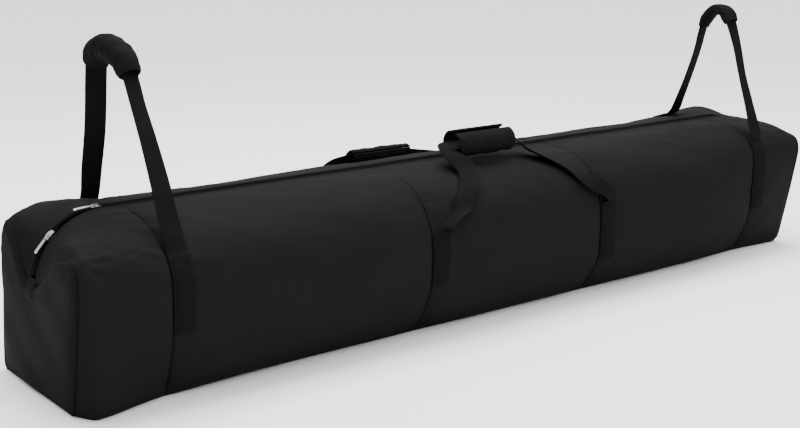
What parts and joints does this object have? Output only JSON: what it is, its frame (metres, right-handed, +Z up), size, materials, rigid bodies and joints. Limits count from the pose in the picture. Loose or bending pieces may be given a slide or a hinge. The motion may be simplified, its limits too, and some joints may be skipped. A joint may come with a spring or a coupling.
{
  "type": "ski bag",
  "caption": "Long padded ski bag: rounded box body, full-length zip over the top and one end, two upright carry loops and a pair of centre handles.",
  "frame": {"origin": "middle of the flat base, on the surface the bag rests on", "axes": "+X along the bag from the end with the sliders, -Y towards the front, +Z up"},
  "size_m": [1.9, 0.4277, 0.6098],
  "materials": {
    "shell_fabric": "black coated plain-weave polyester, low sheen",
    "webbing": "black ribbed polypropylene webbing, satin",
    "grip_fabric": "black polyester over foam, matt with stitched edges",
    "zip_tape": "black woven zip tape",
    "zip_teeth": "black nylon coil",
    "slider_metal": "bright nickel plate, lightly worn"
  },
  "bodies": {
    "bag": {"front_panel_left_end_bay": "shell_fabric", "rear_panel_left_end_bay": "shell_fabric", "front_panel_left_bay": "shell_fabric", "rear_panel_left_bay": "shell_fabric", "front_panel_centre_bay": "shell_fabric", "rear_panel_centre_bay": "shell_fabric", "front_panel_right_bay": "shell_fabric", "rear_panel_right_bay": "shell_fabric", "front_panel_right_end_bay": "shell_fabric", "rear_panel_right_end_bay": "shell_fabric", "base_panel": "shell_fabric", "left_end_panel": "shell_fabric", "right_end_panel": "shell_fabric", "front_zip_tape": "zip_tape", "rear_zip_tape": "zip_tape", "front_zip_teeth": "zip_teeth", "rear_zip_teeth": "zip_teeth", "zip_end_tab": "shell_fabric", "left_front_anchor": "webbing", "left_rear_anchor": "webbing", "front_handle_left_anchor": "webbing", "rear_handle_left_anchor": "webbing", "front_handle_right_anchor": "webbing", "rear_handle_right_anchor": "webbing", "right_front_anchor": "webbing", "right_rear_anchor": "webbing"},
    "top_slider": {"top_slider": "slider_metal"},
    "top_pull": {"top_slider_pull": "slider_metal"},
    "end_slider": {"end_slider": "slider_metal"},
    "end_pull": {"end_slider_pull": "slider_metal"},
    "left_loop": {"left_loop_strap": "webbing", "left_loop_grip": "grip_fabric"},
    "right_loop": {"right_loop_strap": "webbing", "right_loop_grip": "grip_fabric"},
    "front_handle": {"front_handle_strap": "webbing", "front_grip_shell": "grip_fabric"},
    "front_flap": {"front_grip_flap": "grip_fabric"},
    "rear_handle": {"rear_handle_strap": "webbing", "rear_grip_shell": "grip_fabric"},
    "rear_flap": {"rear_grip_flap": "grip_fabric"}
  },
  "joints": [
    {"name": "top_slider_travel", "type": "slide", "parent": "bag", "child": "top_slider", "axis": [1, 0, 0], "range_m": [0, 1.674]},
    {"name": "top_pull_swing", "type": "hinge", "parent": "top_slider", "child": "top_pull", "pos_m": [-0.8287, 0, 0.31655], "axis": [0, 1, 0], "range_deg": [0, 160]},
    {"name": "end_slider_travel", "type": "hinge", "parent": "bag", "child": "end_slider", "pos_m": [-0.818, 0, 0.1795], "axis": [0, -1, 0], "range_deg": [-16, 27]},
    {"name": "end_pull_swing", "type": "hinge", "parent": "end_slider", "child": "end_pull", "pos_m": [-0.9144, 0, 0.2776], "axis": [0, 1, 0], "range_deg": [0, 160]},
    {"name": "left_loop_swing", "type": "hinge", "parent": "bag", "child": "left_loop", "pos_m": [-0.766, 0, 0.303], "axis": [0, 1, 0], "range_deg": [-78, 78]},
    {"name": "right_loop_swing", "type": "hinge", "parent": "bag", "child": "right_loop", "pos_m": [0.797, -0.162, 0.3115], "axis": [0, 0.9962, 0.0865], "range_deg": [-78, 78]},
    {"name": "front_handle_swing", "type": "hinge", "parent": "bag", "child": "front_handle", "pos_m": [0, -0.206, 0.2135], "axis": [1, 0, 0], "range_deg": [0, 168]},
    {"name": "front_flap_open", "type": "hinge", "parent": "front_handle", "child": "front_flap", "pos_m": [0.01, -0.04464, 0.32532], "axis": [-1, 0, 0], "range_deg": [-23.5, 70]},
    {"name": "rear_handle_swing", "type": "hinge", "parent": "bag", "child": "rear_handle", "pos_m": [0, 0.206, 0.2135], "axis": [1, 0, 0], "range_deg": [-135, 0]},
    {"name": "rear_flap_open", "type": "hinge", "parent": "rear_handle", "child": "rear_flap", "pos_m": [-0.11, 0.1564, 0.3086], "axis": [1, 0, 0], "range_deg": [0, 70]}
  ]
}
